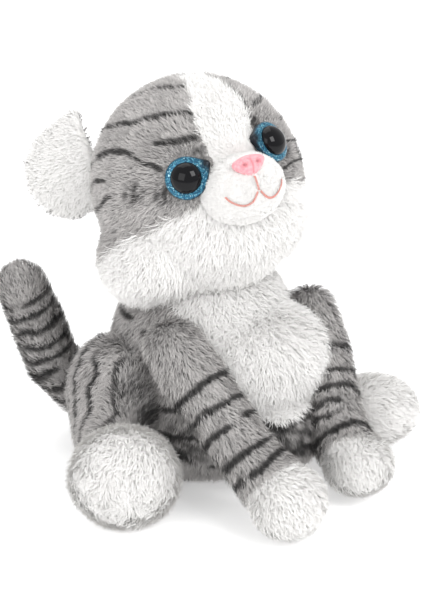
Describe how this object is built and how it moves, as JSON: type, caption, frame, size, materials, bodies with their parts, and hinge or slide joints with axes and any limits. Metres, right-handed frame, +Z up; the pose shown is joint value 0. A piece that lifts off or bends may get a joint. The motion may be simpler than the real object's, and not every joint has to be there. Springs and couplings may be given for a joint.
{
  "type": "plush cat",
  "caption": "Seated striped grey and white plush kitten with glitter-rimmed eyes, sewn limbs, ears and tail that flex at their seams.",
  "frame": {"origin": "on the resting plane, under the middle of the whole toy's box", "axes": "+Z up; the kitten's body faces -Y, its left side is +X"},
  "size_m": [0.208, 0.2014, 0.198],
  "materials": {
    "grey_fur": "long-pile plush, mottled grey with darker stripes",
    "white_fur": "long-pile plush, warm white",
    "short_white": "short-pile velboa, white",
    "pink_fabric": "short-pile velboa, pink",
    "pink_thread": "embroidery thread, dusty pink",
    "fibre_fill": "loose polyester fibre",
    "pellet_bag": "lining bag of plastic pellets",
    "eye_black": "polished black",
    "eye_glitter": "light blue glitter",
    "washer_plastic": "natural moulded plastic"
  },
  "bodies": {
    "torso": {"torso_right_panel": "grey_fur", "torso_left_panel": "grey_fur", "chest_bib": "white_fur", "seat_panel": "grey_fur", "torso_stuffing": "fibre_fill", "pellet_pouch": "pellet_bag"},
    "neck": {"neck_stuffing": "fibre_fill"},
    "head": {"head_right_panel": "grey_fur", "head_left_panel": "grey_fur", "forehead_blaze": "white_fur", "cheek_chin_panel": "white_fur", "head_stuffing": "fibre_fill", "muzzle_cover": "short_white", "muzzle_stuffing": "fibre_fill", "nose_patch": "pink_fabric", "mouth_stitching": "pink_thread", "right_eye": "eye_black", "right_eye_glitter_ring": "eye_glitter", "right_eye_washer": "washer_plastic", "left_eye": "eye_black", "left_eye_glitter_ring": "eye_glitter", "left_eye_washer": "washer_plastic"},
    "right_ear": {"right_ear_front": "white_fur", "right_ear_back": "grey_fur"},
    "left_ear": {"left_ear_front": "white_fur", "left_ear_back": "grey_fur"},
    "right_foreleg": {"right_foreleg_cover": "grey_fur", "right_forepaw_cover": "white_fur", "right_foreleg_stuffing": "fibre_fill"},
    "right_hindleg": {"right_hindleg_cover": "grey_fur", "right_hindfoot_cover": "white_fur", "right_hindleg_stuffing": "fibre_fill"},
    "left_foreleg": {"left_foreleg_cover": "grey_fur", "left_forepaw_cover": "white_fur", "left_foreleg_stuffing": "fibre_fill"},
    "left_hindleg": {"left_hindleg_cover": "grey_fur", "left_hindfoot_cover": "white_fur", "left_hindleg_stuffing": "fibre_fill"},
    "tail": {"tail_cover": "grey_fur", "tail_stuffing": "fibre_fill"}
  },
  "joints": [
    {"name": "head_turn", "type": "hinge", "parent": "torso", "child": "neck", "pos_m": [0.00005, 0.0276, 0.0885], "axis": [0, 0, 1], "range_deg": [-20, 20], "stiffness_Nm_per_rad": 0.5},
    {"name": "head_nod", "type": "hinge", "parent": "neck", "child": "head", "pos_m": [0.00005, 0.0276, 0.0885], "axis": [1, 0, 0], "range_deg": [-7, 7], "stiffness_Nm_per_rad": 0.9},
    {"name": "right_ear_flex", "type": "hinge", "parent": "head", "child": "right_ear", "pos_m": [-0.03095, 0.06902, 0.156], "axis": [-0.1321, 0.6334, 0.7624], "range_deg": [-10, 14], "stiffness_Nm_per_rad": 0.02},
    {"name": "left_ear_flex", "type": "hinge", "parent": "head", "child": "left_ear", "pos_m": [0.03604, 0.06091, 0.1644], "axis": [-0.0878, -0.6068, -0.79], "range_deg": [-10, 14], "stiffness_Nm_per_rad": 0.02},
    {"name": "right_foreleg_swing", "type": "hinge", "parent": "torso", "child": "right_foreleg", "pos_m": [-0.03995, -0.0154, 0.074], "axis": [1, 0, 0], "range_deg": [-20, 6], "stiffness_Nm_per_rad": 0.25},
    {"name": "left_foreleg_swing", "type": "hinge", "parent": "torso", "child": "left_foreleg", "pos_m": [0.04605, -0.0034, 0.073], "axis": [1, 0, 0], "range_deg": [-20, 3], "stiffness_Nm_per_rad": 0.25},
    {"name": "right_hindleg_swing", "type": "hinge", "parent": "torso", "child": "right_hindleg", "pos_m": [-0.04795, 0.0296, 0.036], "axis": [1, 0, 0], "range_deg": [-18, 4], "stiffness_Nm_per_rad": 0.4},
    {"name": "left_hindleg_swing", "type": "hinge", "parent": "torso", "child": "left_hindleg", "pos_m": [0.04805, 0.0296, 0.036], "axis": [1, 0, 0], "range_deg": [-5, 3], "stiffness_Nm_per_rad": 0.4},
    {"name": "tail_sway", "type": "hinge", "parent": "torso", "child": "tail", "pos_m": [-0.00195, 0.0636, 0.022], "axis": [0, 0, 1], "range_deg": [-24, 5], "stiffness_Nm_per_rad": 0.12}
  ]
}
